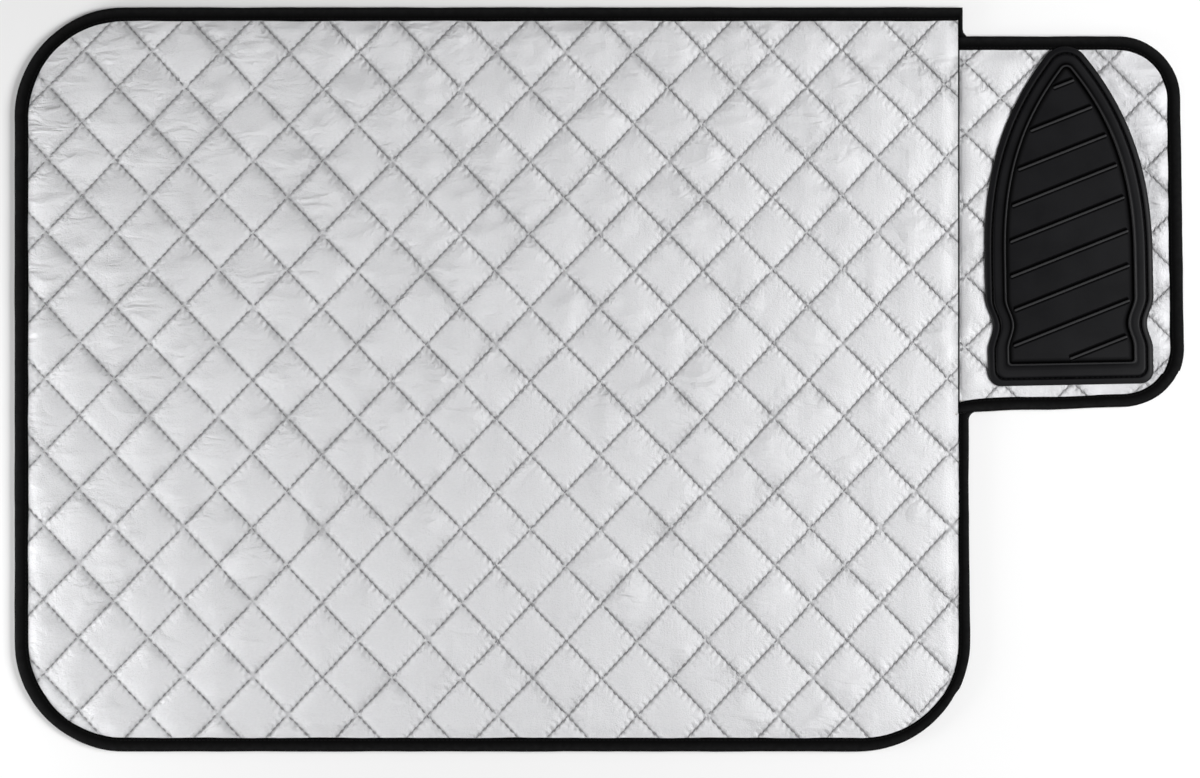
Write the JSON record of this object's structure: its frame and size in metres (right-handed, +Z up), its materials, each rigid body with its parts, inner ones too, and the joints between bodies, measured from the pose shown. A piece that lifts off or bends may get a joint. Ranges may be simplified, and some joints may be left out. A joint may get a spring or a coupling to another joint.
{
  "type": "ironing pad",
  "caption": "Quilted table-top ironing pad with a silver cover, black binding, and a fold-over side wing that carries a moulded silicone iron rest.",
  "frame": {"origin": "on the table, under the middle of the whole pad's outline", "axes": "+X along the pad's length towards the wing, +Y towards the edge next to the wing's top, +Z up from the table"},
  "size_m": [0.8066, 0.514, 0.0083],
  "materials": {
    "silver_cloth": "silver-coated cotton, satin, quilted in diamonds",
    "felt": "matt needled felt",
    "heat_film": "thin satin foil",
    "backing_cloth": "plain matt cotton",
    "binding_tape": "black woven bias tape, matt",
    "silicone": "black silicone, satin",
    "sewing_thread": "black thread"
  },
  "bodies": {
    "main_panel": {"main_cover": "silver_cloth", "main_wadding": "felt", "main_heat_film": "heat_film", "main_backing": "backing_cloth", "main_binding": "binding_tape", "seam_allowance": "silver_cloth"},
    "wing": {"wing_cover": "silver_cloth", "wing_wadding": "felt", "wing_heat_film": "heat_film", "wing_backing": "backing_cloth", "wing_binding": "binding_tape", "iron_rest": "silicone", "rest_thread": "sewing_thread"}
  },
  "joints": [
    {"name": "wing_fold", "type": "hinge", "parent": "main_panel", "child": "wing", "pos_m": [0.2487, 0.108, 0.0035], "axis": [0, -1, 0], "range_deg": [0, 150]}
  ]
}
